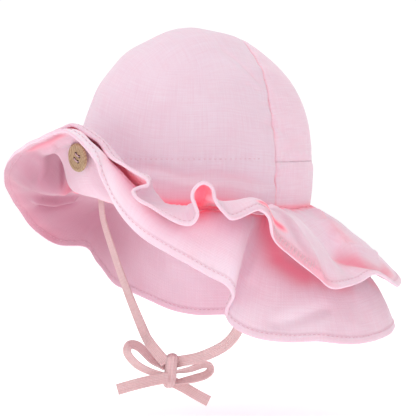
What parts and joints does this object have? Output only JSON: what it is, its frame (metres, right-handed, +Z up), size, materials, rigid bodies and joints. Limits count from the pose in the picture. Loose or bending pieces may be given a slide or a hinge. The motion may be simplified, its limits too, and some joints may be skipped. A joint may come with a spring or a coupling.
{
  "type": "baby sun hat",
  "caption": "Baby sun hat in pink cotton with a turned-up visor, gathered ruffle, neck flap, wood button and tape ties in a bow.",
  "frame": {"origin": "middle of the head opening at the height of the rim's back, where the hat sits on a head", "axes": "+Z up, the visor looks towards -Y, the wearer's left is +X"},
  "size_m": [0.2613, 0.2807, 0.2733],
  "materials": {
    "cotton": "matte plain weave",
    "tape": "matte ribbed weave",
    "wood": "satin",
    "thread": "matte"
  },
  "bodies": {
    "root": {"crown_front": "cotton", "crown_back": "cotton", "back_band": "cotton", "upper_ruffle": "cotton", "neck_flap": "cotton", "button": "wood", "button_thread": "thread", "tie_far": "tape", "tie_near": "tape", "bow_knot": "tape", "bow_loop_far": "tape", "bow_loop_near": "tape", "bow_tail_far": "tape", "bow_tail_near": "tape"}
  },
  "joints": []
}
